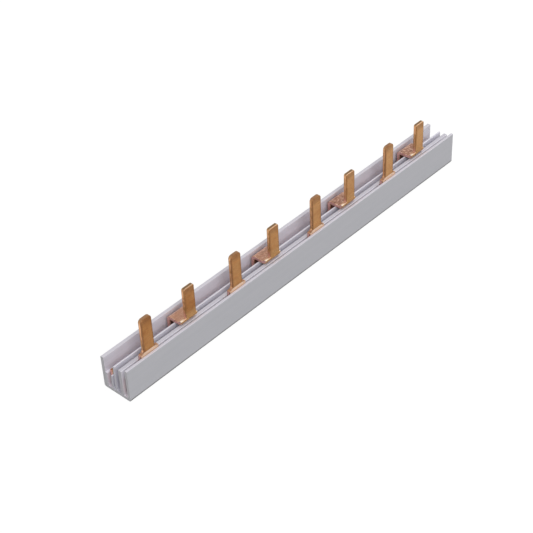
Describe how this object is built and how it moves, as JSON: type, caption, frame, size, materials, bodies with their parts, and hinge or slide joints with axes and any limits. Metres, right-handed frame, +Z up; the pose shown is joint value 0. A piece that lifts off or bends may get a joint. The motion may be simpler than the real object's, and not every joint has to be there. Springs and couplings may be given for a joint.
{
  "type": "comb busbar",
  "caption": "Straight comb busbar: an open extruded insulating channel holding two copper combs, whose flat pins stand in one row to feed adjacent circuit breakers.",
  "frame": {"origin": "centre of the housing's flat base", "axes": "+X along the bar, +Y across it from the front wall to the back wall, +Z up towards the pin tips"},
  "size_m": [0.15, 0.0104, 0.0235],
  "materials": {
    "housing_plastic": "light grey extruded plastic, slightly silky",
    "comb_copper": "bare rolled copper, semi-bright"
  },
  "bodies": {
    "root": {"insulating_housing": "housing_plastic", "front_comb": "comb_copper", "rear_comb": "comb_copper"}
  },
  "joints": []
}
